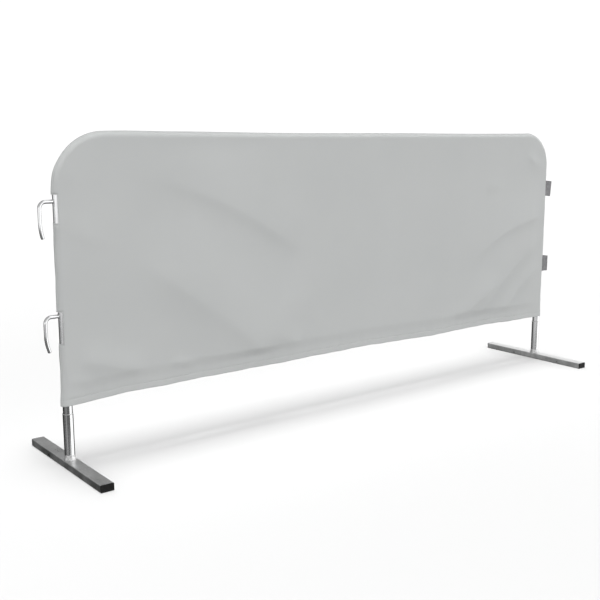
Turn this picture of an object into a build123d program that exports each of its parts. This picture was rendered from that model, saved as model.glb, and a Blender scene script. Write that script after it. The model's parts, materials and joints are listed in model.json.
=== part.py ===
"""Covered steel crowd control barrier, 2.5 m class, on two swivelling flat feet.

Millimetres, +Z up. X runs along the barrier, hooks on the -X post and receivers on the +X post.
Y runs across it, front at -Y. The origin is on the floor, midway between the posts.
"""
import os

from build123d import *

os.makedirs("parts", exist_ok=True)

# Driving dimensions
height = 1100.0            # floor to the top of the covered rail
post_spacing = 2460.0      # post axis to post axis
tube_od = 32.0             # posts, bends and top rail, one bent tube
tube_wall = 1.5
bend_radius = 160.0        # centreline of the two top corners
fit_gap = 0.1              # radial clearance of a post in its foot socket
joint_gap = 0.05           # root gap that a weld bead bridges

rail_od = 25.0             # lower rail
rail_wall = 1.5
rail_height = 258.0
bar_od = 16.0              # upright infill bars
bar_wall = 1.0
bar_count = 19

rod_od = 12.0              # interlocking hooks
hook_bend = 20.0
hook_reach = 61.0          # post axis to the hook leg's axis
hook_chamfer = 1.5
upper_hook_z = 884.0
lower_hook_z = 514.0

strap_height = 72.0        # receivers, flat strap bent into a loop
strap_thickness = 3.5
strap_width = 28.0
strap_reach = 58.0         # post axis to the outer face of the loop
strap_corner = 8.0
upper_strap_z = 843.0
lower_strap_z = 474.0
upper_strap_lean = 5.0     # degrees, top outwards
lower_strap_lean = 1.0

foot_length = 560.0        # over both end caps
foot_width = 46.0
foot_height = 25.0
foot_wall = 2.0
foot_corner = 3.0
cap_flange = 3.0
cap_edge = 1.0
plug_depth = 22.0
plug_wall = 2.0
plug_gap = 0.1
plug_corner = 1.5
socket_od = 35.0
socket_top = 184.0
bolt_height = 110.0        # M8 lock bolt in a nut behind each socket
bolt_turn = 38.0           # degrees from straight back, towards +X
bolt_od = 8.0
bolt_length = 12.0
bolt_head = 5.3
bolt_chamfer = 0.35
hex_radius = 7.5           # across corners, 13 mm across flats
nut_face = 24.0            # post axis to the nut's outer face
tip_gap = 0.3              # bolt tip to the post

cloth = 1.2
cloth_gap = 0.3            # cloth to the steel that it lies on
left_corner = 177.5        # cover's outline radius over the left bend
right_corner = 150.0       # the cover stands fuller over the right bend
round_land = 0.1           # flat left between two rounded edges
cut_margin = 1.0           # how far a cutting shape passes what it cuts
hem_end_z = 212.0
hem_mid_z = 228.0
notch_depth = 11.5         # how far the cover is cut back at hooks and receivers
upper_notch = (814.0, 907.0)
lower_notch = (421.0, 529.0)
slot_clearance = 2.0       # cover to a receiver's top and bottom
tab_count = 5              # hook-and-loop tabs that close the bottom of the cover
tab_width = 60.0
tab_spacing = 490.0
tab_thickness = 1.5
tab_z = 231.0
tab_flap = 22.0

# Worked-out dimensions
half = post_spacing / 2
tube_r = tube_od / 2
wrap_r = tube_r + cloth_gap + cloth
edge_x = half + wrap_r
past_x = edge_x + cut_margin
top_rail_z = height - wrap_r
post_foot_z = foot_height + fit_gap
socket_r = tube_r + fit_gap
bar_pitch = post_spacing / (bar_count + 1)


def save(piece, name):
    """Label a finished solid and write it as its own STEP file."""
    piece.label = name
    export_step(piece, f"parts/{name}.step")


# Posts, bends and top rail: one bent tube
with BuildPart() as frame_hoop:
    with BuildLine() as hoop_path:
        FilletPolyline(
            (-half, 0, post_foot_z),
            (-half, 0, top_rail_z),
            (half, 0, top_rail_z),
            (half, 0, post_foot_z),
            radius=bend_radius,
        )
    with BuildSketch(Plane.XY.offset(post_foot_z)):
        with Locations((-half, 0)):
            Circle(tube_r)
            Circle(tube_r - tube_wall, mode=Mode.SUBTRACT)
    sweep(path=hoop_path.line)
save(frame_hoop.part, "frame_hoop")

# The hoop's outside, slightly oversize, shapes the ends of everything welded to it
with BuildPart() as cope:
    with BuildSketch(Plane.XY.offset(post_foot_z)):
        with Locations((-half, 0)):
            Circle(tube_r + joint_gap)
    sweep(path=hoop_path.line)

with BuildPart() as lower_rail:
    with BuildSketch(Plane.YZ.offset(-half)):
        with Locations((0, rail_height)):
            Circle(rail_od / 2)
            Circle(rail_od / 2 - rail_wall, mode=Mode.SUBTRACT)
    extrude(amount=post_spacing)
    add(cope.part, mode=Mode.SUBTRACT)
save(lower_rail.part, "lower_rail")

# Infill bars, coped onto the lower rail and the top rail
for number in range(1, bar_count + 1):
    bar_x = number * bar_pitch - half
    with BuildPart() as infill_bar:
        with BuildSketch(Plane.XY.offset(rail_height)):
            with Locations((bar_x, 0)):
                Circle(bar_od / 2)
                Circle(bar_od / 2 - bar_wall, mode=Mode.SUBTRACT)
        extrude(amount=top_rail_z - rail_height)
        with Locations(Location((bar_x, 0, rail_height), (0, 90, 0))):
            Cylinder(rail_od / 2 + joint_gap, 2 * bar_od, mode=Mode.SUBTRACT)
        add(cope.part, mode=Mode.SUBTRACT)
    save(infill_bar.part, f"infill_bar_{number:02d}")


def hook(arm_z, straight, tip_drop, tip_inset):
    """Rod that leaves the left post, turns down and curls slightly back at its tip."""
    leg_x = -half - hook_reach
    bend_z = arm_z - hook_bend
    curl_z = bend_z - straight
    with BuildPart() as rod:
        with BuildLine() as rod_path:
            Line((-half, 0, arm_z), (leg_x + hook_bend, 0, arm_z))
            TangentArc((leg_x + hook_bend, 0, arm_z), (leg_x, 0, bend_z), tangent=(-1, 0, 0))
            Line((leg_x, 0, bend_z), (leg_x, 0, curl_z))
            TangentArc((leg_x, 0, curl_z), (leg_x + tip_inset, 0, curl_z - tip_drop), tangent=(0, 0, -1))
        with BuildSketch(Plane.YZ.offset(-half)):
            with Locations((0, arm_z)):
                Circle(rod_od / 2)
        sweep(path=rod_path.line)
        chamfer(rod.faces().sort_by(Axis.Z)[0].edges(), length=hook_chamfer)
        add(cope.part, mode=Mode.SUBTRACT)
    return rod.part


save(hook(upper_hook_z, straight=45, tip_drop=52, tip_inset=7), "upper_hook")
save(hook(lower_hook_z, straight=40, tip_drop=56, tip_inset=11), "lower_hook")


def receiver(centre_z, lean):
    """Strap bent into a U, its two ends coped onto the right post, open at top and bottom."""
    with BuildPart() as strap:
        with BuildSketch(Plane((half, 0, centre_z)).rotated((0, lean, 0))):
            RectangleRounded(2 * strap_reach, strap_width, strap_corner)
            RectangleRounded(
                2 * (strap_reach - strap_thickness),
                strap_width - 2 * strap_thickness,
                strap_corner - strap_thickness,
                mode=Mode.SUBTRACT,
            )
            with Locations((-strap_reach / 2, 0)):
                Rectangle(strap_reach, strap_width, mode=Mode.SUBTRACT)
        extrude(amount=strap_height / 2, both=True)
        add(cope.part, mode=Mode.SUBTRACT)
    return strap.part


save(receiver(upper_strap_z, upper_strap_lean), "upper_receiver")
save(receiver(lower_strap_z, lower_strap_lean), "lower_receiver")


def cover_block(inset):
    """The cover's outline as a solid, rounded over the tube and set in by a thickness."""
    side = edge_x - inset
    top = height - inset
    low = hem_end_z - 2 * wrap_r
    left_r = left_corner - inset
    right_r = right_corner - inset
    with BuildPart() as block:
        with BuildSketch(Plane.XZ):
            with BuildLine():
                Line((-side, low), (-side, top - left_r))
                RadiusArc((-side, top - left_r), (left_r - side, top), left_r)
                Line((left_r - side, top), (side - right_r, top))
                RadiusArc((side - right_r, top), (side, top - right_r), right_r)
                Line((side, top - right_r), (side, low))
                Line((side, low), (-side, low))
            make_face()
        extrude(amount=wrap_r - inset, both=True)
        rims = block.faces().filter_by(Axis.Y).edges()
        fillet(rims.filter_by(lambda rim: rim.center().Z > low + cut_margin), wrap_r - inset - round_land)
    return block.part


# The cover is one skin over the frame, open along its bottom and cut back at hooks and receivers
with BuildPart() as cover:
    add(cover_block(0))
    add(cover_block(cloth), mode=Mode.SUBTRACT)
    with BuildSketch(Plane.XZ):
        with BuildLine():
            ThreePointArc((-past_x, hem_end_z), (0, hem_mid_z), (past_x, hem_end_z))
            Polyline((past_x, hem_end_z), (past_x, 0), (-past_x, 0), (-past_x, hem_end_z))
        make_face()
    extrude(amount=2 * wrap_r, both=True, mode=Mode.SUBTRACT)
    for low_z, high_z in (upper_notch, lower_notch):
        with Locations((-edge_x, 0, (low_z + high_z) / 2)):
            Box(2 * notch_depth, 4 * wrap_r, high_z - low_z, mode=Mode.SUBTRACT)
    for centre_z in (upper_strap_z, lower_strap_z):
        with Locations((edge_x, 0, centre_z)):
            Box(2 * notch_depth, 4 * wrap_r, strap_height + 2 * slot_clearance, mode=Mode.SUBTRACT)

with BuildPart() as cover_front:
    add(cover.part)
    split(bisect_by=Plane.XZ, keep=Keep.TOP)
save(cover_front.part, "cover_front")

with BuildPart() as cover_back:
    add(cover.part)
    split(bisect_by=Plane.XZ, keep=Keep.BOTTOM)
save(cover_back.part, "cover_back")

# Tabs under the lower rail that join the cover's two hems
with BuildPart() as closure_tabs:
    tab_half = wrap_r - cloth
    with BuildSketch(Plane.YZ) as tab_profile:
        with Locations((0, tab_z)):
            Rectangle(2 * tab_half, tab_flap, align=(Align.CENTER, Align.MIN))
        with Locations((0, tab_z + tab_thickness)):
            Rectangle(2 * (tab_half - tab_thickness), tab_flap, align=(Align.CENTER, Align.MIN), mode=Mode.SUBTRACT)
    first_x = -tab_spacing * (tab_count - 1) / 2
    for number in range(tab_count):
        with Locations((first_x + number * tab_spacing, 0, 0)):
            add(extrude(tab_profile.sketch, amount=tab_width / 2, both=True, mode=Mode.PRIVATE))
save(closure_tabs.part, "closure_tabs")


def foot_tube(post_x):
    """Flat-lying rectangular tube that stands the post up."""
    with BuildPart() as tube:
        with BuildSketch(Plane.XZ):
            with Locations((post_x, foot_height / 2)):
                RectangleRounded(foot_width, foot_height, foot_corner)
                RectangleRounded(
                    foot_width - 2 * foot_wall,
                    foot_height - 2 * foot_wall,
                    foot_corner - foot_wall,
                    mode=Mode.SUBTRACT,
                )
        extrude(amount=foot_length / 2 - cap_flange, both=True)
    return tube.part


def foot_cap(post_x, side):
    """Push-in plastic end cap; side is -1 for the front end and +1 for the rear end."""
    tube_end = side * (foot_length / 2 - cap_flange)
    plug_width = foot_width - 2 * (foot_wall + plug_gap)
    plug_height = foot_height - 2 * (foot_wall + plug_gap)
    with BuildPart() as cap:
        with BuildSketch(Plane.XZ.offset(-tube_end)):
            with Locations((post_x, foot_height / 2)):
                RectangleRounded(foot_width, foot_height, foot_corner)
        extrude(amount=-side * cap_flange)
        fillet(cap.faces().sort_by(Axis.Y)[-1 if side > 0 else 0].edges(), cap_edge)
        with BuildSketch(Plane.XZ.offset(-tube_end)):
            with Locations((post_x, foot_height / 2)):
                RectangleRounded(plug_width, plug_height, plug_corner)
                Rectangle(plug_width - 2 * plug_wall, plug_height - 2 * plug_wall, mode=Mode.SUBTRACT)
        extrude(amount=side * plug_depth)
    return cap.part


def bolt_plane(post_x, distance):
    """Plane across the lock bolt's axis, that far from the post's axis, facing outwards."""
    outward = Vector(0, 1, 0).rotate(Axis.Z, -bolt_turn)
    return Plane(origin=Vector(post_x, 0, bolt_height) + outward * distance, z_dir=outward)


def foot_socket(post_x):
    """Round tube on the foot that the post stands and turns in, drilled for the lock bolt."""
    with BuildPart() as socket:
        with BuildSketch(Plane.XY.offset(foot_height)):
            with Locations((post_x, 0)):
                Circle(socket_od / 2)
                Circle(socket_r, mode=Mode.SUBTRACT)
        extrude(amount=socket_top - foot_height)
        with BuildSketch(bolt_plane(post_x, 0)):
            Circle(bolt_od / 2 + 2 * fit_gap)
        extrude(amount=socket_od, mode=Mode.SUBTRACT)
    return socket.part


def lock_nut(post_x):
    """Hexagon nut welded over the socket's hole."""
    with BuildPart() as nut:
        with BuildSketch(bolt_plane(post_x, 0)):
            RegularPolygon(hex_radius, 6)
            Circle(bolt_od / 2 + joint_gap, mode=Mode.SUBTRACT)
        extrude(amount=nut_face)
        with Locations((post_x, 0, bolt_height)):
            Cylinder(socket_od / 2 + joint_gap, 2 * socket_od, mode=Mode.SUBTRACT)
    return nut.part


def lock_bolt(post_x):
    """Set bolt whose tip clamps the post in its socket."""
    tip = tube_r + tip_gap
    with BuildPart() as bolt:
        with BuildSketch(bolt_plane(post_x, tip)):
            Circle(bolt_od / 2)
        extrude(amount=bolt_length)
        with BuildSketch(bolt_plane(post_x, tip + bolt_length)):
            RegularPolygon(hex_radius, 6)
        extrude(amount=bolt_head)
        chamfer(bolt.faces().sort_by(Axis.Y)[0].edges(), length=bolt_chamfer)
    return bolt.part


for name, post_x in (("left", -half), ("right", half)):
    save(foot_tube(post_x), f"{name}_foot_tube")
    save(foot_cap(post_x, -1), f"{name}_front_cap")
    save(foot_cap(post_x, 1), f"{name}_rear_cap")
    save(foot_socket(post_x), f"{name}_foot_socket")
    save(lock_nut(post_x), f"{name}_lock_nut")
    save(lock_bolt(post_x), f"{name}_lock_bolt")
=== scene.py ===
"""Looks of the covered crowd control barrier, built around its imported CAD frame.

Metres, in the frame's own axes: X along the barrier, front at -Y, Z up. The steel and plastic nodes
keep their CAD shape and get better materials. The cover and its closing tabs are made here as cloth.
"""
import json
import math
import random

import bpy
import numpy as np
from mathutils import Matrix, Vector


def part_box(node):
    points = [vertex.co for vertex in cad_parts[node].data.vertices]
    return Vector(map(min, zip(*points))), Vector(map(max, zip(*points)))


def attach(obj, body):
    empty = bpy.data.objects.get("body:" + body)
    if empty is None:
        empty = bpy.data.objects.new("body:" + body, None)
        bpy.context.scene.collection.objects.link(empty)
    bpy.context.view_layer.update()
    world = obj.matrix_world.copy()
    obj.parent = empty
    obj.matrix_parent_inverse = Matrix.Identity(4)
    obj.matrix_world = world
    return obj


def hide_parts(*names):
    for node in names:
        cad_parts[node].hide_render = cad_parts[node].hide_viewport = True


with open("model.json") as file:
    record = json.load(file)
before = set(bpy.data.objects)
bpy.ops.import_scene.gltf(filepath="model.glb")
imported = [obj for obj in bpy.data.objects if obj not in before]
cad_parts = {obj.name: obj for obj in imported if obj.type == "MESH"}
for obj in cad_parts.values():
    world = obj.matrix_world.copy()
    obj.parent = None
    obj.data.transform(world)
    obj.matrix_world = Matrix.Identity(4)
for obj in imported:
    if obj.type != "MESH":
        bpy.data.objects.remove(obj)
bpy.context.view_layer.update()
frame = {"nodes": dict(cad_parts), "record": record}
random.seed(7)

# Places read from the frame
HOOP_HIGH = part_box("frame_hoop")[1]
COVER_LOW, COVER_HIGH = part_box("cover_front")
TUBE_R = HOOP_HIGH.y
HALF = HOOP_HIGH.x - TUBE_R                 # post axis to the middle
WRAP_R = -COVER_LOW.y                       # outside of the cloth round a post
RAIL_Z = COVER_HIGH.z - WRAP_R              # axis of the top rail
HEM_Z = COVER_LOW.z
LOWER_RAIL_LOW, LOWER_RAIL_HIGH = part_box("lower_rail")
LOWER_RAIL_Z = (LOWER_RAIL_LOW.z + LOWER_RAIL_HIGH.z) / 2
LOWER_RAIL_R = LOWER_RAIL_HIGH.y


# ---------------------------------------------------------------- node trees

class Graph:
    """Short calls for building a node tree."""

    def __init__(self, tree):
        self.tree = tree

    def node(self, kind):
        return self.tree.nodes.new(kind)

    def link(self, source, target):
        self.tree.links.new(source, target)

    def feed(self, socket, value):
        """Set a socket to a number, or link another node's output to it."""
        if isinstance(value, (int, float)):
            socket.default_value = value
        else:
            self.link(value, socket)

    def math(self, operation, first, second=0.0):
        node = self.node("ShaderNodeMath")
        node.operation = operation
        self.feed(node.inputs[0], first)
        self.feed(node.inputs[1], second)
        return node.outputs["Value"]

    def map_range(self, value, low, high, from_low, from_high, kind="LINEAR"):
        """Value's range from_low to from_high, mapped onto low to high and held there outside it."""
        node = self.node("ShaderNodeMapRange")
        node.interpolation_type = kind
        node.inputs["From Min"].default_value = from_low
        node.inputs["From Max"].default_value = from_high
        node.inputs["To Min"].default_value = low
        node.inputs["To Max"].default_value = high
        self.link(value, node.inputs["Value"])
        return node.outputs["Result"]


class WorldNodes(Graph):
    """A world whose brightness depends on the way a ray goes: how far up, and its turn about Z."""

    def __init__(self, tree):
        super().__init__(tree)
        direction = self.node("ShaderNodeSeparateXYZ")
        self.link(self.node("ShaderNodeTexCoord").outputs["Generated"], direction.inputs["Vector"])
        self.up = direction.outputs["Z"]
        self.turn = self.math("ARCTAN2", direction.outputs["Y"], direction.outputs["X"])

    def rising(self, low, high, start, end):
        """Smooth step from low to high as the ray points further up, from start to end."""
        return self.map_range(self.up, low, high, start, end, "SMOOTHSTEP")

    def turning(self, low, high, start, end):
        """Smooth step from low to high as the ray turns, from start to end degrees."""
        return self.map_range(self.turn, low, high, math.radians(start), math.radians(end), "SMOOTHSTEP")

    def sector(self, strength, opening, closing):
        """Strength between two turns, each with the degrees where its soft edge starts and ends."""
        return self.math("MULTIPLY", self.turning(0, strength, *opening), self.turning(1, 0, *closing))

    def matt_room(self):
        """What lights matt surfaces: a bright horizon, a little stronger from the right."""
        horizon = self.rising(0.3, 2.8, -0.08, 0.06)
        light = self.math("MULTIPLY", horizon, self.rising(1.0, 0.03, 0.22, 0.6))
        from_right = self.math("COSINE", self.math("ADD", self.turn, math.radians(40)))
        return self.math("MULTIPLY", light, self.math("ADD", self.math("MULTIPLY", from_right, 0.1), 1.0))

    def mirrored_room(self):
        """What polished steel mirrors: a darker room with one bright wall and a pale strip."""
        bright_wall = self.math("MULTIPLY", self.sector(1, (-76, -66), (-12, 4)),
                                self.rising(0, 1.8, -0.62, -0.42))
        behind = self.math("MULTIPLY", self.sector(0.85, (42, 56), (132, 165)),
                           self.rising(1, 0.45, 0.1, 0.3))
        away = self.math("ADD", self.turning(1, 0, -100, -80), self.turning(0, 1, 42, 60))
        dimmer = self.math("MULTIPLY", away, self.rising(0, 0.5, 0.06, 0.22))
        room = self.rising(0.15, 1.2, -0.28, -0.1)
        room = self.math("MULTIPLY", room, self.math("SUBTRACT", 1.0, behind))
        room = self.math("MULTIPLY", room, self.math("SUBTRACT", 1.0, dimmer))
        pale_strip = self.sector(0.22, (-168, -160), (-146, -138))
        return self.math("ADD", self.math("MAXIMUM", room, bright_wall), pale_strip)

    def background(self, strength):
        node = self.node("ShaderNodeBackground")
        node.inputs["Color"].default_value = (1, 1, 1, 1)
        self.feed(node.inputs["Strength"], strength)
        return node.outputs["Background"]

    def choose(self, factor, first, second):
        node = self.node("ShaderNodeMixShader")
        self.link(factor, node.inputs["Fac"])
        self.link(first, node.inputs[1])
        self.link(second, node.inputs[2])
        return node.outputs["Shader"]


# ---------------------------------------------------------------- camera, floor and light

FLOOR_HALF = 90
OBJECT_SUN, FLOOR_SUN = 1.9, 1.35           # the second one lights only the floor
WHITE = 1.05                                # a world just past white, behind everything


def make_camera():
    """Standing a little in front of the left end, looking along the barrier."""
    data = bpy.data.cameras.new("camera")
    data.lens = 53.53
    camera = bpy.data.objects.new("camera", data)
    bpy.context.scene.collection.objects.link(camera)
    camera.location = (-2.367, -2.716, 1.0766)
    camera.rotation_euler = (math.radians(79.79), math.radians(0.09), math.radians(-37.88))
    bpy.context.scene.camera = camera


def new_mesh(name, verts, faces, smooth=True):
    mesh = bpy.data.meshes.new(name)
    mesh.from_pydata([tuple(v) for v in verts], [], [tuple(f) for f in faces])
    mesh.validate()
    mesh.update()
    if smooth:
        mesh.polygons.foreach_set("use_smooth", [True] * len(mesh.polygons))
    piece = bpy.data.objects.new(name, mesh)
    bpy.context.scene.collection.objects.link(piece)
    return piece


def make_studio():
    """A white floor, an overhead light that softens the shadow under the barrier, and a pale room."""
    scene = bpy.context.scene
    scene.view_settings.view_transform = "Standard"
    corners = [(x * FLOOR_HALF, y * FLOOR_HALF, 0) for x, y in ((-1, -1), (1, -1), (1, 1), (-1, 1))]
    floor = new_mesh("floor", corners, [(0, 1, 2, 3)], smooth=False)
    floor.data.materials.append(simple_material("studio_floor", (0.632, 0.632, 0.632), roughness=0.9))
    floor.visible_diffuse = False
    floor.visible_glossy = False
    overhead_light("overhead_light", OBJECT_SUN)
    for_floor = bpy.data.collections.new("floor_light_receivers")
    for_floor.objects.link(floor)
    overhead_light("overhead_floor_light", FLOOR_SUN).light_linking.receiver_collection = for_floor
    make_world(scene)


def overhead_light(name, strength):
    """Daylight from straight above, as wide as a large softbox, which steel doesn't mirror."""
    data = bpy.data.lights.new(name, "SUN")
    data.energy = strength
    data.angle = math.radians(27)
    lamp = bpy.data.objects.new(name, data)
    bpy.context.scene.collection.objects.link(lamp)
    lamp.rotation_euler = (math.radians(1.2), 0, 0)
    lamp.visible_glossy = False
    return lamp


def make_world(scene):
    """White to the camera, one room for polished steel to mirror and another to light the rest."""
    world = bpy.data.worlds.new("studio")
    scene.world = world
    world.use_nodes = True
    world.node_tree.nodes.clear()
    nodes = WorldNodes(world.node_tree)
    path = nodes.node("ShaderNodeLightPath")
    matt = nodes.background(nodes.matt_room())
    mirrored = nodes.background(nodes.mirrored_room())
    lit = nodes.choose(path.outputs["Is Glossy Ray"], matt, mirrored)
    seen = nodes.choose(path.outputs["Is Camera Ray"], lit, nodes.background(WHITE))
    nodes.link(seen, nodes.node("ShaderNodeOutputWorld").inputs["Surface"])


# ---------------------------------------------------------------- materials

def simple_material(name, color, roughness=0.5, metallic=0.0):
    material = bpy.data.materials.new(name)
    material.use_nodes = True
    shader = material.node_tree.nodes["Principled BSDF"]
    shader.inputs["Base Color"].default_value = (*color, 1)
    shader.inputs["Roughness"].default_value = roughness
    shader.inputs["Metallic"].default_value = metallic
    return material


class Nodes(Graph):
    """One material's node tree, with Object coordinates to place its textures."""

    def __init__(self, name, color, roughness, metallic=0.0):
        self.material = simple_material(name, color, roughness, metallic)
        super().__init__(self.material.node_tree)
        self.shader = self.tree.nodes["Principled BSDF"]
        self.place = self.node("ShaderNodeTexCoord").outputs["Object"]

    def scaled(self, scale):
        mapping = self.node("ShaderNodeMapping")
        mapping.inputs["Scale"].default_value = scale
        self.link(self.place, mapping.inputs["Vector"])
        return mapping.outputs["Vector"]

    def noise(self, scale, detail=3.0, place=None):
        node = self.node("ShaderNodeTexNoise")
        node.inputs["Scale"].default_value = scale
        node.inputs["Detail"].default_value = detail
        self.link(place or self.place, node.inputs["Vector"])
        return node.outputs["Fac"]

    def cells(self, scale, place=None):
        node = self.node("ShaderNodeTexVoronoi")
        node.inputs["Scale"].default_value = scale
        self.link(place or self.place, node.inputs["Vector"])
        return node.outputs["Color"]

    def wave(self, scale, direction, distortion=0.0):
        node = self.node("ShaderNodeTexWave")
        node.bands_direction = direction
        node.inputs["Scale"].default_value = scale
        node.inputs["Distortion"].default_value = distortion
        self.link(self.place, node.inputs["Vector"])
        return node.outputs["Fac"]

    def mapped(self, value, low, high, from_low=0.3, from_high=0.7):
        return self.map_range(value, low, high, from_low, from_high)

    def color_between(self, factor, first, second):
        node = self.node("ShaderNodeMix")
        node.data_type = "RGBA"
        node.inputs["A"].default_value = (*first, 1)
        node.inputs["B"].default_value = (*second, 1)
        self.link(factor, node.inputs["Factor"])
        self.link(node.outputs["Result"], self.shader.inputs["Base Color"])

    def roughness(self, value):
        self.link(value, self.shader.inputs["Roughness"])

    def bump(self, value, strength, distance):
        node = self.node("ShaderNodeBump")
        node.inputs["Strength"].default_value = strength
        node.inputs["Distance"].default_value = distance
        self.link(value, node.inputs["Height"])
        previous = self.shader.inputs["Normal"].links
        if previous:
            self.link(previous[0].from_socket, node.inputs["Normal"])
        self.link(node.outputs["Normal"], self.shader.inputs["Normal"])


def cloth_material():
    """Matt light grey polyester: fine knit ribs, faint blotches from handling."""
    m = Nodes("cover_cloth", (0.49, 0.5, 0.5), 0.85)
    blotch = m.noise(3.0, 4.0)
    m.color_between(m.mapped(blotch, 0.0, 1.0), (0.487, 0.499, 0.497), (0.504, 0.515, 0.512))
    m.roughness(m.mapped(m.noise(60.0), 0.78, 0.92))
    ribs = m.math("MULTIPLY", m.wave(420.0, "X", 0.4), m.wave(300.0, "Z", 0.4))
    m.bump(ribs, 0.25, 0.0003)
    m.bump(m.noise(14.0, 5.0), 0.35, 0.0016)
    m.shader.inputs["Sheen Weight"].default_value = 0.15
    m.shader.inputs["Sheen Roughness"].default_value = 0.5
    m.shader.inputs["Specular IOR Level"].default_value = 0.25
    return m.material


def thread_and_outline_shade_material():
    """Grey sewing thread with its twist, darker than the cloth; on the seam cord the dark thread also
    paints the shaded line along the cover's outline.
    """
    m = Nodes("thread", (0.42, 0.43, 0.43), 0.7)
    # Painted shade: this dark grey is partly the thread's own colour and partly the shaded outline that the
    # seam cord draws.
    m.color_between(m.noise(900.0), (0.26, 0.27, 0.27), (0.38, 0.39, 0.39))
    m.bump(m.wave(1500.0, "DIAGONAL"), 0.5, 0.0002)
    return m.material


def tab_material():
    """Grey hook-and-loop tape: a felted pile."""
    m = Nodes("tab_webbing", (0.3, 0.31, 0.31), 0.95)
    m.color_between(m.mapped(m.noise(350.0, 6.0), 0, 1), (0.22, 0.225, 0.225), (0.4, 0.405, 0.4))
    m.bump(m.noise(1400.0, 4.0), 0.8, 0.0006)
    return m.material


def zinc_material(name, base, dark, roughness):
    """Bright zinc plate on drawn tube: faint draw lines along it and cloudy passivation."""
    m = Nodes(name, base, roughness, metallic=1.0)
    cloud = m.noise(18.0, 5.0, m.scaled((1, 1, 0.35)))
    m.color_between(m.mapped(cloud, 0.0, 1.0, 0.35, 0.68), dark, base)
    streak = m.noise(500.0, 2.0, m.scaled((1, 1, 0.02)))
    uneven = m.math("ADD", m.math("MULTIPLY", cloud, 0.6), m.math("MULTIPLY", streak, 0.4))
    m.roughness(m.mapped(uneven, roughness * 0.75, roughness * 1.5))
    m.bump(streak, 0.05, 0.0003)
    m.bump(m.noise(90.0, 4.0), 0.04, 0.0003)
    return m.material


def foot_material():
    """Galvanised rectangular tube: faint zinc spangle, dull patches and scuffs."""
    m = Nodes("galvanised_foot", (0.42, 0.43, 0.43), 0.4, metallic=1.0)
    spangle = m.cells(170.0)
    patch = m.noise(22.0, 5.0)
    mottle = m.math("ADD", m.math("MULTIPLY", spangle, 0.25), m.math("MULTIPLY", patch, 0.8))
    m.color_between(m.mapped(mottle, 0, 1, 0.3, 0.85), (0.5, 0.505, 0.505), (0.72, 0.725, 0.72))
    m.roughness(m.mapped(patch, 0.26, 0.42))
    m.bump(m.noise(320.0, 4.0), 0.08, 0.0003)
    return m.material


def strap_material():
    """Dark grey steel strap, mottled and a little rough."""
    m = Nodes("dark_strap", (0.15, 0.15, 0.155), 0.5, metallic=0.5)
    m.color_between(m.mapped(m.noise(70.0, 5.0), 0, 1), (0.11, 0.11, 0.115), (0.2, 0.2, 0.205))
    m.roughness(m.mapped(m.noise(45.0, 4.0), 0.42, 0.62))
    m.bump(m.noise(400.0, 3.0), 0.2, 0.0003)
    return m.material


def cap_material():
    """Black moulded plastic with a fine grain."""
    m = Nodes("black_cap", (0.01, 0.01, 0.01), 0.5)
    m.shader.inputs["Specular IOR Level"].default_value = 0.12
    m.color_between(m.mapped(m.noise(120.0, 4.0), 0, 1), (0.006, 0.006, 0.006), (0.014, 0.014, 0.014))
    m.roughness(m.mapped(m.noise(70.0), 0.48, 0.68))
    m.bump(m.noise(2200.0, 2.0), 0.25, 0.0002)
    return m.material


def weld_material():
    """Weld metal under zinc: uneven, with random lighter and darker patches."""
    m = Nodes("weld_zinc", (0.62, 0.63, 0.63), 0.4, metallic=0.9)
    m.color_between(m.mapped(m.noise(160.0, 5.0), 0, 1), (0.36, 0.36, 0.36), (0.78, 0.78, 0.78))
    m.roughness(m.mapped(m.noise(220.0, 4.0), 0.3, 0.6))
    m.bump(m.noise(600.0, 4.0), 0.4, 0.0006)
    return m.material


def make_materials():
    """Every material by the name that paint takes. The CAD nodes' slots in the record use some of them."""
    return {
        "cover_cloth": cloth_material(),
        "tab_webbing": tab_material(),
        "zinc_tube": zinc_material("zinc_tube", (0.74, 0.745, 0.75), (0.6, 0.605, 0.61), 0.13),
        "zinc_rod": zinc_material("zinc_rod", (0.72, 0.725, 0.73), (0.6, 0.605, 0.61), 0.12),
        "dark_strap": strap_material(),
        "galvanised_foot": foot_material(),
        "black_cap": cap_material(),
        "thread": thread_and_outline_shade_material(),
        "weld_zinc": weld_material(),
    }


def paint(piece, name):
    """Give a piece one of the materials, in place of any that it has."""
    piece.data.materials.clear()
    piece.data.materials.append(materials[name])


def paint_nodes():
    """Every CAD node takes the built material of its record slot."""
    for part in frame["record"]["subparts"]:
        paint(frame["nodes"][part["node"]], part["material_slot"])


# ---------------------------------------------------------------- cloth cover

QUARTER = WRAP_R * math.pi / 2              # cloth from the panel's flat to the seam
LEFT_BEND = 0.16                            # centreline radius of the cover's left corner
RIGHT_BEND = LEFT_BEND - 0.0275             # the cloth stands fuller over the right bend
NOTCHES = ((0.814, 0.907), (0.421, 0.529))  # cut back round the hooks
SLOT_PLAY = 0.002
SLOTS = tuple(
    (low.z - SLOT_PLAY, high.z + SLOT_PLAY)
    for low, high in (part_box("upper_receiver"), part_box("lower_receiver"))
)
NOTCH_DEPTH = 0.0115
CUT_DEPTH = WRAP_R * math.asin((WRAP_R - NOTCH_DEPTH) / WRAP_R)   # cloth left past the post's axis there
HEM_WIDTH = 0.022
CLOTH = 0.0009                              # thickness that shows at the cloth's edges


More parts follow.
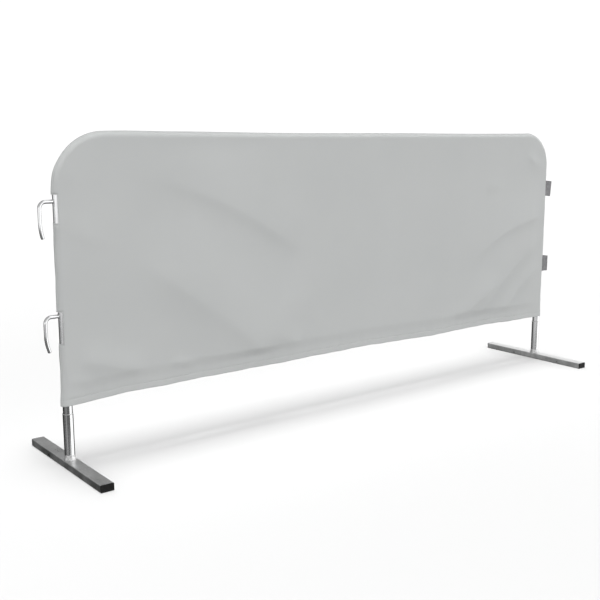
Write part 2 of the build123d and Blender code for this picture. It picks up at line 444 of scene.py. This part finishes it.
def hem_line(x):
    """Height of the hem: lowest at the posts, with the slight waves of a pulled edge."""
    across = np.clip(x / (HALF + QUARTER), -1, 1)
    waves = 0.0012 * np.sin(9.0 * x + 0.6) + 0.0008 * np.sin(23.0 * x) + 0.0005 * np.sin(61.0 * x + 1.1)
    sag = 0.0075 * np.exp(-((x - 0.5) / 0.3) ** 2) + 0.0035 * np.exp(-((x - 0.98) / 0.14) ** 2)
    sag += 0.003 * np.exp(-((x + 0.5) / 0.2) ** 2)
    lift = 0.004 * np.exp(-((x + 1.0) / 0.12) ** 2)
    return HEM_Z + 0.0155 * (1 - np.abs(across) ** 3.2) + waves * (1 - across ** 8) - sag + lift


def spaced(low, high, step):
    """Evenly spaced values from low to high, both included, about step apart."""
    return list(np.linspace(low, high, max(2, int(round((high - low) / step)) + 1)))


def joined(*runs):
    """Runs of values end to end, with shared ends once."""
    values = []
    for run in runs:
        values += [v for v in run if not values or v > values[-1] + 1e-6]
    return np.array(values)


def smooth(value, low, high):
    t = np.clip((value - low) / (high - low), 0, 1)
    return t * t * (3 - 2 * t)


def curve_through(points, count=60):
    """Catmull-Rom curve through a few given points."""
    pts = np.array(points, float)
    pts = np.vstack([2 * pts[0] - pts[1], pts, 2 * pts[-1] - pts[-2]])
    spans = len(pts) - 3
    out = []
    for t in np.linspace(0, spans - 1e-6, count):
        i, u = int(t), t - int(t)
        a, b, c, d = pts[i:i + 4]
        out.append(0.5 * (2 * b + (c - a) * u + (2 * a - 5 * b + 4 * c - d) * u ** 2
                          + (3 * b - a - 3 * c + d) * u ** 3))
    return np.array(out)


def fold(x, z, points, height, above, below, start=0.3, end=0.3):
    """A soft ridge along a curve: height, and how fast it falls off above and below the crest."""
    line = curve_through(points)
    best = np.full(x.shape, 1e9)
    signed = np.zeros(x.shape)
    along = np.zeros(x.shape)
    count = len(line) - 1
    for i in range(count):
        a, b = line[i], line[i + 1]
        run = b - a
        length2 = run @ run
        t = np.clip(((x - a[0]) * run[0] + (z - a[1]) * run[1]) / length2, 0, 1)
        dx, dz = x - a[0] - t * run[0], z - a[1] - t * run[1]
        gap = np.hypot(dx, dz)
        nearer = gap < best
        side = np.where(run[0] * dz - run[1] * dx > 0, 1.0, -1.0) * (1 if run[0] > 0 else -1)
        best = np.where(nearer, gap, best)
        signed = np.where(nearer, side, signed)
        along = np.where(nearer, (i + t) / count, along)
    round_over = 0.008
    steep = np.exp(-(np.hypot(best, round_over) - round_over) / below)
    gentle = np.exp(-(best / above) ** 2)
    profile = np.where(signed > 0, gentle, steep)
    taper = smooth(along, 0, start) * (1 - smooth(along, 1 - end, 1))
    return height * profile * np.clip(taper, 0, 1)


# Each fold: points along its crest (x, z), height, reach above and below, and where it fades
FRONT_FOLDS = (
    ([(-1.0, 0.985), (-0.88, 0.95), (-0.76, 0.91), (-0.64, 0.862), (-0.525, 0.81), (-0.42, 0.752),
      (-0.31, 0.685), (-0.24, 0.63)], 0.0105, 0.18, 0.036, 0.45, 0.24),
    ([(-1.0, 0.7), (-0.92, 0.65), (-0.82, 0.575), (-0.72, 0.505), (-0.62, 0.432), (-0.52, 0.352),
      (-0.45, 0.29), (-0.38, 0.22)], 0.0185, 0.25, 0.09, 0.3, 0.2),
    ([(-1.25, 0.66), (-1.13, 0.67), (-1.02, 0.66), (-0.93, 0.63)], 0.0045, 0.26, 0.16, 0.02, 0.5),
    ([(-1.2, 0.36), (-1.12, 0.34), (-1.02, 0.31), (-0.93, 0.285)], 0.0078, 0.055, 0.03, 0.2, 0.3),
    ([(-1.245, 0.815), (-1.19, 0.78), (-1.13, 0.757), (-1.03, 0.742)], 0.0034, 0.07, 0.016, 0.05, 0.5),
    ([(1.4, 0.725), (1.235, 0.715), (1.15, 0.704), (1.016, 0.675), (0.897, 0.632), (0.762, 0.556),
      (0.66, 0.475)], 0.0095, 0.13, 0.026, 0.35, 0.4),
    ([(1.36, 0.71), (1.245, 0.64), (1.17, 0.59), (1.08, 0.53), (0.98, 0.46), (0.88, 0.375),
      (0.79, 0.29), (0.7, 0.2)], 0.0135, 0.17, 0.056, 0.4, 0.25),
    ([(1.24, 0.475), (1.15, 0.43), (1.06, 0.37), (0.98, 0.3), (0.9, 0.22)],
     0.0062, 0.045, 0.026, 0.2, 0.25),
    ([(0.93, 0.44), (0.84, 0.385), (0.75, 0.33), (0.65, 0.285), (0.55, 0.24)],
     0.0052, 0.05, 0.022, 0.3, 0.3),
    ([(1.06, 1.03), (1.11, 0.99), (1.17, 0.94), (1.235, 0.9)], 0.0024, 0.05, 0.02, 0.3, 0.3),
    ([(1.1, 1.0), (1.15, 0.965), (1.235, 0.93)], 0.0022, 0.02, 0.012, 0.3, 0.2),
    ([(-0.85, 0.3), (-0.8, 0.282), (-0.75, 0.262)], 0.004, 0.025, 0.012, 0.3, 0.3),
    ([(-1.235, 1.0), (-1.21, 0.97), (-1.175, 0.945)], 0.0034, 0.03, 0.018, 0.2, 0.4),
    ([(-0.42, 0.35), (-0.33, 0.315), (-0.25, 0.285)], 0.0045, 0.045, 0.024, 0.4, 0.3),
    ([(-1.24, 0.3), (-1.19, 0.285), (-1.13, 0.262)], 0.0035, 0.02, 0.012, 0.1, 0.4),
    ([(0.8, 0.83), (0.86, 0.86), (0.93, 0.855)], 0.0028, 0.03, 0.022, 0.4, 0.4),
)
BACK_FOLDS = (
    ([(1.0, 0.97), (0.82, 0.92), (0.62, 0.85), (0.45, 0.76), (0.33, 0.68), (0.26, 0.6)],
     0.0075, 0.13, 0.036, 0.5, 0.3),
    ([(0.98, 0.62), (0.85, 0.53), (0.72, 0.44), (0.6, 0.33), (0.5, 0.22)], 0.0095, 0.11, 0.07, 0.3, 0.25),
    ([(-1.23, 0.7), (-1.05, 0.66), (-0.88, 0.59), (-0.74, 0.5)], 0.005, 0.08, 0.03, 0.2, 0.3),
    ([(-1.24, 0.56), (-1.12, 0.5), (-1.0, 0.41), (-0.88, 0.3), (-0.8, 0.21)], 0.008, 0.1, 0.05, 0.15, 0.25),
    ([(0.2, 1.0), (0.05, 0.95), (-0.12, 0.92), (-0.3, 0.91)], 0.0032, 0.07, 0.03, 0.4, 0.4),
    ([(-0.2, 0.36), (-0.1, 0.32), (0.02, 0.285)], 0.0035, 0.05, 0.024, 0.4, 0.4),
)


def panel_relief(x, z, hem, gap, folds):
    """How far the panel stands out of its plane, from tension folds, the tuck over the rail and slack.

    gap is the distance inside the hoop's centreline: over the tube itself the cloth can't sink in.
    """
    relief = np.zeros(x.shape)
    for points, height, above, below, start, end in folds:
        relief += fold(x, z, points, height, above, below, start, end)
    over_hem = z - hem
    middle = 1 - smooth(np.abs(x), HALF - 0.12, HALF + 0.005)
    tuck = 1 - smooth(over_hem, 0.038, 0.08)
    relief *= 1 - tuck
    relief -= 0.004 * tuck * middle
    relief += 0.0002 * np.exp(-(over_hem / 0.014) ** 2) * middle
    gathers = np.sin(97 * x + 1.6 * np.sin(11 * x)) + 0.6 * np.sin(163 * x + 9 * z + 0.7)
    relief += 0.00016 * gathers * np.exp(-((over_hem - 0.04) / 0.035) ** 2) * middle
    relief -= 0.0016 * np.exp(-(((x - 0.865) / 0.06) ** 2 + ((z - 0.835) / 0.045) ** 2)) * middle
    slack = (0.5 * np.sin(5.1 * x + 3.0 * z) + 0.35 * np.sin(11.3 * x - 7.7 * z + 1.3)
             + 0.2 * np.sin(26.0 * x + 19.0 * z + 0.4))
    relief += 0.0007 * slack * middle
    standing = relief * (0.3 + 0.7 * smooth(gap, 0.0, 0.11))
    sinking = np.maximum(relief, -0.0065) * smooth(gap, 0.012, 0.06)
    return np.where(relief > 0, standing, sinking)


def stitch_dent(over_hem, x):
    """The hem's stitch line pulls the cloth in, with small puckers along it."""
    pull = np.exp(-((over_hem - HEM_WIDTH) / 0.0022) ** 2)
    pucker = 0.00022 * np.sin(430.0 * x + 2.0 * np.sin(31.0 * x))
    puckered = pucker * np.exp(-((over_hem - 0.018) / 0.012) ** 2)
    return -0.0007 * pull + 0.0004 * (over_hem < HEM_WIDTH) + puckered


def flat_place(u, v):
    """Place in the panel's plane, how far past the hoop's centreline, and the way outwards there.

    At a corner, squares in the flat cut become rings about the bend's centre.
    """
    x, z = u.copy(), v.copy()
    beyond = np.maximum(np.abs(u) - HALF, v - RAIL_Z)
    outward_x = np.where(np.abs(u) - HALF > 0, np.sign(u), 0.0)
    outward_z = np.where(v - RAIL_Z > 0, 1.0, 0.0)
    for sign, bend in ((-1, LEFT_BEND), (1, RIGHT_BEND)):
        centre_x, centre_z = sign * (HALF - bend), RAIL_Z - bend
        size = bend + QUARTER
        a = (u * sign - centre_x * sign) / size
        b = (v - centre_z) / size
        corner = (a > 0) & (b > 0)
        ring = np.maximum(np.maximum(a, b), 1e-9)
        a1, b1 = a / ring, b / ring
        dir_x = a1 * np.sqrt(np.clip(1 - b1 * b1 / 2, 0, 1))
        dir_z = b1 * np.sqrt(np.clip(1 - a1 * a1 / 2, 0, 1))
        x = np.where(corner, centre_x + sign * size * ring * dir_x, x)
        z = np.where(corner, centre_z + size * ring * dir_z, z)
        beyond = np.where(corner, size * ring - bend, beyond)
        outward_x = np.where(corner, sign * dir_x, outward_x)
        outward_z = np.where(corner, dir_z, outward_z)
    return x, z, beyond, outward_x, outward_z


def cloth_point(u, v, side, folds):
    """Where the flat-cut point (u, v) lies on the barrier, for side -1 (front) or +1 (back)."""
    x, z, beyond, outward_x, outward_z = flat_place(u, v)
    past = np.clip(beyond, 0, None)
    angle = np.clip(past / WRAP_R, 0, math.pi / 2)
    out, front = np.sin(angle), np.cos(angle)
    base_x = x - outward_x * past + outward_x * WRAP_R * out
    base_z = z - outward_z * past + outward_z * WRAP_R * out
    base_y = side * WRAP_R * front
    hem = hem_line(base_x)
    relief = panel_relief(base_x, base_z, hem, -beyond, folds)
    relief = relief + stitch_dent(base_z - hem, base_x)
    to_seam = smooth(past, 0.0, QUARTER)
    relief = relief * (1 - to_seam) + edge_slack(base_x, base_z) * to_seam
    px = base_x + outward_x * out * relief
    pz = base_z + outward_z * out * relief
    py = base_y + side * front * relief - side * 0.0007 * smooth(past, QUARTER - 0.004, QUARTER)
    return px, py, pz


def edge_slack(x, z):
    """How far the seam stands off the tube: full at the right bend, wavy down the posts."""
    right_bend = np.exp(-((x - 1.17) / 0.1) ** 2) * smooth(z, 0.98, 1.05)
    left_kink = 0.0045 * np.exp(-((x + 1.02) / 0.14) ** 2) * smooth(z, 1.0, 1.08)
    left_kink += 0.003 * np.exp(-((x + 0.8) / 0.25) ** 2) * smooth(z, 1.0, 1.08)
    waves = 0.0009 * np.sin(13.0 * z + 0.8) + 0.0007 * np.sin(37.0 * z) + 0.0004 * np.sin(83.0 * z + 2.0)
    down_post = smooth(np.abs(x), HALF - 0.01, HALF + 0.01)
    top_sag = -0.0005 + 0.0006 * np.sin(7.0 * x)
    flare = 0.0036 * (1 - smooth(z, 0.22, 0.34))
    return left_kink + 0.002 * right_bend + (0.001 + waves + flare) * down_post + top_sag * (1 - down_post)


def panel_columns():
    """Grid lines across the flat cut, closer together towards the posts and round them."""
    side_cut, edge = HALF + CUT_DEPTH, HALF + QUARTER
    right = joined(
        spaced(0.0, 0.95, 0.0105),
        spaced(0.95, HALF - 0.03, 0.008),
        spaced(HALF - 0.03, HALF, 0.005),
        spaced(HALF, side_cut, 0.0031),
        spaced(side_cut, edge, 0.0035),
    )
    return np.concatenate([-right[::-1], right[1:]])


def panel_rows():
    """Grid lines up the flat cut, closer at the hem and the top, with one at each opening's ends."""
    rows = [spaced(HEM_Z, HEM_Z + 0.03, 0.0025), spaced(HEM_Z + 0.03, 0.32, 0.006)]
    reached = 0.32
    for mark in sorted(end for opening in NOTCHES + SLOTS for end in opening):
        rows.append(spaced(reached, mark, 0.0095))
        reached = mark
    rows.append(spaced(reached, RAIL_Z - 0.03, 0.0085))
    rows.append(spaced(RAIL_Z - 0.03, RAIL_Z, 0.005))
    rows.append(spaced(RAIL_Z, RAIL_Z + QUARTER, 0.0035))
    return joined(*rows)


def is_cut_back(u, v):
    """Whether the cloth is cut away there, for a hook on the left or a receiver on the right."""
    openings = NOTCHES if u < 0 else SLOTS
    return abs(u) > HALF + CUT_DEPTH and any(low < v < high for low, high in openings)


def thicken(piece, thickness, offset):
    solid = piece.modifiers.new("thickness", "SOLIDIFY")
    solid.thickness = thickness
    solid.offset = offset


def make_panel(name, side, folds):
    """One cloth panel: a grid in its flat cut, laid over the frame."""
    columns, rows = panel_columns(), panel_rows()
    u, v = np.meshgrid(columns, rows)
    lift = (hem_line(u) - HEM_Z) * (1 - smooth(v, HEM_Z, 0.4))
    x, y, z = cloth_point(u, v + lift, side, folds)
    verts = np.stack([x.ravel(), y.ravel(), z.ravel()], axis=1)
    across = len(columns)
    faces = []
    for j in range(len(rows) - 1):
        for i in range(across - 1):
            if is_cut_back((columns[i] + columns[i + 1]) / 2, (rows[j] + rows[j + 1]) / 2):
                continue
            a = j * across + i
            quad = (a, a + 1, a + 1 + across, a + across)
            faces.append(quad if side < 0 else quad[::-1])
    used = sorted(set(i for face in faces for i in face))
    place = {old: new for new, old in enumerate(used)}
    panel = new_mesh(name, verts[used], [[place[i] for i in face] for face in faces])
    paint(panel, "cover_cloth")
    thicken(panel, CLOTH, -1)
    return panel


def flat_area():
    """Of one panel's cut: its rectangle less the rounded corners, the hem's rise and the cut-backs."""
    width, height = 2 * (HALF + QUARTER), RAIL_Z + QUARTER - HEM_Z
    corners = sum((1 - math.pi / 4) * (bend + QUARTER) ** 2 for bend in (LEFT_BEND, RIGHT_BEND))
    rise = width * np.mean(hem_line(np.linspace(-width / 2, width / 2, 500)) - HEM_Z)
    cut_backs = (QUARTER - CUT_DEPTH) * sum(high - low for low, high in NOTCHES + SLOTS)
    return width * height - corners - rise - cut_backs


# ---------------------------------------------------------------- sewing

STITCH, STITCH_PITCH, THREAD_R = 0.0035, 0.0046, 0.00036
STITCH_LIFT = 0.0001                        # of the stitches' ends above the cloth
SEAM_INSET = 0.009                          # seam to its row of topstitching
ALONG_STEP = 0.006                          # between points along the seams and hems


def tube_mesh(name, path, radius, sides, closed=False, ripple=0.0):
    """A tube along a path, its radius varied bead by bead by ripple."""
    pts = np.array(path, float)
    count = len(pts)
    ahead = np.roll(pts, -1, 0) - np.roll(pts, 1, 0)
    if not closed:
        ahead[0], ahead[-1] = pts[1] - pts[0], pts[-1] - pts[-2]
    ahead /= np.linalg.norm(ahead, axis=1)[:, None]
    hint = np.where(np.abs(ahead[:, 2:3]) > 0.9, np.array([[1.0, 0, 0]]), np.array([[0, 0, 1.0]]))
    first = np.cross(ahead, hint)
    first /= np.linalg.norm(first, axis=1)[:, None]
    second = np.cross(ahead, first)
    verts, faces = [], []
    for k in range(count):
        size = radius * (1 + ripple * math.sin(2.2 * k) + ripple * random.uniform(-0.6, 0.6))
        for s in range(sides):
            turn = 2 * math.pi * s / sides
            verts.append(pts[k] + size * (math.cos(turn) * first[k] + math.sin(turn) * second[k]))
    for k in range(count if closed else count - 1):
        for s in range(sides):
            a, b = k * sides + s, k * sides + (s + 1) % sides
            c, d = ((k + 1) % count) * sides + (s + 1) % sides, ((k + 1) % count) * sides + s
            faces.append((a, b, c, d))
    if not closed:
        faces.append(tuple(range(sides))[::-1])
        faces.append(tuple((count - 1) * sides + s for s in range(sides)))
    return new_mesh(name, verts, faces)


def path_on_cloth(u, v, side, folds, lift=0.0):
    """Points and outward normals on a panel, along a path in its flat cut, raised by lift."""
    step = 0.0005
    here = np.stack(cloth_point(u, v, side, folds), axis=1)
    across = np.stack(cloth_point(u + step, v, side, folds), axis=1) - here
    upward = np.stack(cloth_point(u, v + step, side, folds), axis=1) - here
    normals = np.cross(across, upward) * -side
    normals /= np.linalg.norm(normals, axis=1)[:, None]
    return here + lift * normals, normals


def at_distance(values, reached, distance):
    """Points or normals at a distance along their run, where reached is each one's own distance."""
    return np.array([np.interp(distance, reached, values[:, axis]) for axis in range(3)])


def stitch_row(name, runs):
    """Lockstitches end to end along each run of points and normals, as one piece."""
    verts, faces = [], []
    for points, normals in runs:
        reached = np.concatenate([[0], np.cumsum(np.linalg.norm(np.diff(points, axis=0), axis=1))])
        for begin in np.arange(0, reached[-1] - STITCH, STITCH_PITCH):
            first = at_distance(points, reached, begin)
            last = at_distance(points, reached, begin + STITCH)
            normal = at_distance(normals, reached, begin + STITCH / 2)
            side = np.cross(last - first, normal)
            side *= THREAD_R / np.linalg.norm(side)
            middle = (first + last) / 2 + normal * THREAD_R * 0.4
            k = len(verts)
            verts += [first, last, middle + side, middle - side]
            verts += [middle + normal * THREAD_R, middle - normal * THREAD_R]
            for a, b in ((2, 4), (4, 3), (3, 5), (5, 2)):
                faces += [(k, k + a, k + b), (k + 1, k + b, k + a)]
    return new_mesh(name, verts, faces)


def outline_runs(inset):
    """The panel's outline in its flat cut, set in from the seam, broken at the notches and slots."""
    side_u, top_v = HALF + QUARTER - inset, RAIL_Z + QUARTER - inset
    low_v = HEM_Z + 0.001
    (upper_notch_low, upper_notch_high), (lower_notch_low, lower_notch_high) = NOTCHES
    (upper_slot_low, upper_slot_high), (lower_slot_low, lower_slot_high) = SLOTS

    def upright(sign, low, high):
        v = np.arange(low, high, ALONG_STEP)
        return np.full(v.shape, sign * side_u), v

    across = np.arange(-side_u, side_u, ALONG_STEP)
    left_u, left_v = upright(-1, upper_notch_high, top_v)
    right_u, right_v = upright(1, upper_slot_high, top_v)
    over = (np.concatenate([left_u, across, right_u[::-1]]),
            np.concatenate([left_v, np.full(across.shape, top_v), right_v[::-1]]))
    return [
        upright(-1, low_v, lower_notch_low),
        upright(-1, lower_notch_high, upper_notch_low),
        over,
        upright(1, lower_slot_high, upper_slot_low),
        upright(1, low_v, lower_slot_low),
    ]


def hem_path(height):
    """A line in the flat cut, at a height above the hem's edge."""
    end = HALF + QUARTER - 0.002
    u = np.arange(-end, end, ALONG_STEP)
    return u, hem_line(u) + height


def join_pieces(name, pieces):
    """Several meshes made into one piece."""
    verts, faces = [], []
    for piece in pieces:
        offset = len(verts)
        verts += [v.co.copy() for v in piece.data.vertices]
        faces += [[i + offset for i in polygon.vertices] for polygon in piece.data.polygons]
        bpy.data.objects.remove(piece)
    return new_mesh(name, verts, faces)


def cut_edge_path(sign, low, high):
    """Round the three cut sides of one opening, in the flat cut."""
    cut_u = HALF + CUT_DEPTH
    up = np.arange(low, high, 0.004)
    out = np.linspace(HALF + QUARTER, cut_u, 8)
    u = sign * np.concatenate([out, np.full(up.shape, cut_u), out[::-1]])
    return u, np.concatenate([np.full(out.shape, low), up, np.full(out.shape, high)])


def make_sewing(side, folds, label):
    """Topstitching, rolled hem and bound openings of one panel."""

    def on_cloth(path, lift):
        return path_on_cloth(*path, side, folds, lift)

    stitch_runs = [on_cloth(path, STITCH_LIFT) for path in outline_runs(SEAM_INSET)]
    seam_stitches = stitch_row(f"seam_stitches_{label}", stitch_runs)
    hem_stitches = stitch_row(f"hem_stitches_{label}", [on_cloth(hem_path(HEM_WIDTH), STITCH_LIFT)])
    paint(seam_stitches, "thread")
    paint(hem_stitches, "thread")

    rolls = [tube_mesh("roll", on_cloth(hem_path(0.0002), -0.001)[0], 0.001, 6)]
    for sign, openings in ((-1, NOTCHES), (1, SLOTS)):
        for low, high in openings:
            points, _ = on_cloth(cut_edge_path(sign, low, high), -0.0005)
            rolls.append(tube_mesh("roll", points, 0.0011, 6))
    binding = join_pieces(f"edge_binding_{label}", rolls)
    paint(binding, "cover_cloth")
    return [seam_stitches, hem_stitches, binding]


def make_seam_cord():
    """The seam between the two panels, a thin ridge along the frame's outside, in dark thread: a real seam
    that also paints the shaded line along the cover's outline.
    """
    cords = []
    for u, v in outline_runs(0.0):
        points, _ = path_on_cloth(u, v, -1, FRONT_FOLDS)
        points[:, 1] = 0.0
        cords.append(tube_mesh("cord", points, 0.001, 6))
    cord = join_pieces("seam_cord", cords)
    # Painted shade: the cord's dark thread draws the shaded line along the cover's top and sides.
    paint(cord, "thread")
    return cord


def make_tabs():
    """Five webbing tabs under the lower rail, each a shallow U from one panel's inside to the other's."""
    low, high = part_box("closure_tabs")
    wide, count = 0.06, 5
    flank = [(-0.0117, 0.2515), (-0.0117, 0.2445), (-0.0098, 0.2402), (-0.0055, 0.2384)]
    section = curve_through(flank + [(0, 0.238)] + [(-y, z) for y, z in flank[::-1]], 28)
    rows = len(section)
    verts, faces = [], []
    for centre in np.linspace(low.x + wide / 2, high.x - wide / 2, count):
        across = np.linspace(centre - wide / 2, centre + wide / 2, 9)
        k = len(verts)
        for x in across:
            for y, z in section:
                verts.append((x, y, z - 0.0006 * math.cos(40 * (x - centre))))
        for i in range(len(across) - 1):
            for j in range(rows - 1):
                a = k + i * rows + j
                faces.append((a, a + 1, a + 1 + rows, a + rows))
    tabs = new_mesh("closure_tab_webbing", verts, faces)
    paint(tabs, "tab_webbing")
    thicken(tabs, 0.0011, 0)
    return tabs


# ---------------------------------------------------------------- welds and socket rims

NUT_BEAD_R = 0.0078
CIRCLE = np.linspace(0, 2 * math.pi, 36, endpoint=False)


def ride_as_zinc(piece, body):
    paint(piece, "weld_zinc")
    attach(piece, body)


def saddle_ring(centre_x, centre_z, ring_r, post_r, sign):
    """Closed path where a round bar along X meets an upright post."""
    turns = np.linspace(0, 2 * math.pi, 40, endpoint=False)
    y = ring_r * np.cos(turns)
    x = centre_x + sign * np.sqrt(post_r ** 2 - y ** 2)
    return np.stack([x, y, centre_z + ring_r * np.sin(turns)], axis=1)


def hook_bead(node):
    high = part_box(node)[1]
    rod_r = high.y
    ring = saddle_ring(-HALF, high.z - rod_r, rod_r + 0.0007, TUBE_R, -1)
    return tube_mesh("bead", ring, 0.0016, 8, closed=True, ripple=0.12)


def receiver_bead(node, sign):
    """Upright bead where one end of a receiver's strap meets the post."""
    low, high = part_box(node)
    y = high.y + 0.0003
    z = np.arange(low.z + 0.005, high.z - 0.004, 0.0016)
    x = np.full(z.shape, HALF + math.sqrt(TUBE_R ** 2 - y ** 2) + 0.0004)
    return tube_mesh("bead", np.stack([x, np.full(z.shape, sign * y), z], axis=1), 0.0015, 8, ripple=0.14)


def rail_bead(sign):
    ring = saddle_ring(sign * HALF, LOWER_RAIL_Z, LOWER_RAIL_R + 0.0006, TUBE_R, -sign)
    return tube_mesh("bead", ring, 0.0014, 8, closed=True, ripple=0.12)


def make_frame_welds():
    """Beads that hold the hooks, receivers and lower rail on the posts."""
    beads = [hook_bead(node) for node in ("upper_hook", "lower_hook")]
    for node in ("upper_receiver", "lower_receiver"):
        beads += [receiver_bead(node, sign) for sign in (-1, 1)]
    beads += [rail_bead(sign) for sign in (-1, 1)]
    ride_as_zinc(join_pieces("frame_weld_beads", beads), "frame")


def socket_flare(centre, socket_r, base_z):
    """The rough weld that flares out round a socket's base: a ring for each (out, rise) of its profile."""
    profile = [(0.0024, 0.0), (0.0026, 0.0012), (0.0019, 0.004), (0.0011, 0.0085), (0.0006, 0.0135),
               (0.00015, 0.0185)]
    count = 64
    verts, faces = [], []
    for out, rise in profile:
        for k in range(count):
            turn = 2 * math.pi * k / count
            rough = 1 + 0.12 * math.sin(23 * turn + 60 * rise) + random.uniform(-0.08, 0.08)
            r = socket_r + out * rough
            z = base_z + rise * (1 + 0.06 * math.sin(9 * turn))
            verts.append((centre.x + r * math.cos(turn), r * math.sin(turn), z))
    for ring in range(len(profile) - 1):
        for k in range(count):
            a, b = ring * count + k, ring * count + (k + 1) % count
            faces.append((a, b, b + count, a + count))
    return new_mesh("flare", verts, faces)


def nut_bead(side, centre, socket_r):
    """The bead round a lock nut, where it meets the socket's round wall."""
    low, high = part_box(f"{side}_lock_bolt")
    bolt = (low + high) / 2
    outward = Vector((bolt.x - centre.x, bolt.y, 0)).normalized()
    tangent = Vector((-outward.y, outward.x, 0))
    ring = []
    for turn in CIRCLE:
        sideways = NUT_BEAD_R * math.cos(turn)
        reach = math.sqrt(socket_r ** 2 - sideways ** 2) + 0.0003
        on_axis = Vector((centre.x, 0, bolt.z + NUT_BEAD_R * math.sin(turn)))
        ring.append(tuple(on_axis + outward * reach + tangent * sideways))
    return tube_mesh("bead", ring, 0.0014, 8, closed=True, ripple=0.14)


def make_foot_details(side):
    """A foot's weld beads, and its socket's rounded lip."""
    low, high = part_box(f"{side}_foot_socket")
    centre = (low + high) / 2
    socket_r = high.y
    beads = [socket_flare(centre, socket_r, low.z), nut_bead(side, centre, socket_r)]
    ride_as_zinc(join_pieces(f"{side}_foot_weld_beads", beads), f"{side}_foot")
    lip_r = socket_r - 0.0007
    lip = np.stack([centre.x + lip_r * np.cos(CIRCLE), lip_r * np.sin(CIRCLE),
                    np.full(CIRCLE.shape, high.z)], axis=1)
    ride_as_zinc(tube_mesh(f"{side}_socket_rim", lip, 0.0011, 10, closed=True), f"{side}_foot")


# ---------------------------------------------------------------- the barrier

def make_cover():
    """Both panels with their sewing, riding on the frame in place of the CAD cover, which is hidden."""
    front = make_panel("cover_front_cloth", -1, FRONT_FOLDS)
    back = make_panel("cover_back_cloth", 1, BACK_FOLDS)
    front_sewing = make_sewing(-1, FRONT_FOLDS, "front") + [make_seam_cord()]
    tabs = make_tabs()
    back_sewing = make_sewing(1, BACK_FOLDS, "back")
    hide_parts("cover_front")
    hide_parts("cover_back")
    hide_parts("closure_tabs")
    for panel, sewing in ((front, front_sewing + [tabs]), (back, back_sewing)):
        for piece in [panel] + sewing:
            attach(piece, "frame")
        flat_area()


make_camera()
materials = make_materials()
make_studio()
paint_nodes()
make_cover()
make_frame_welds()
make_foot_details("left")
make_foot_details("right")
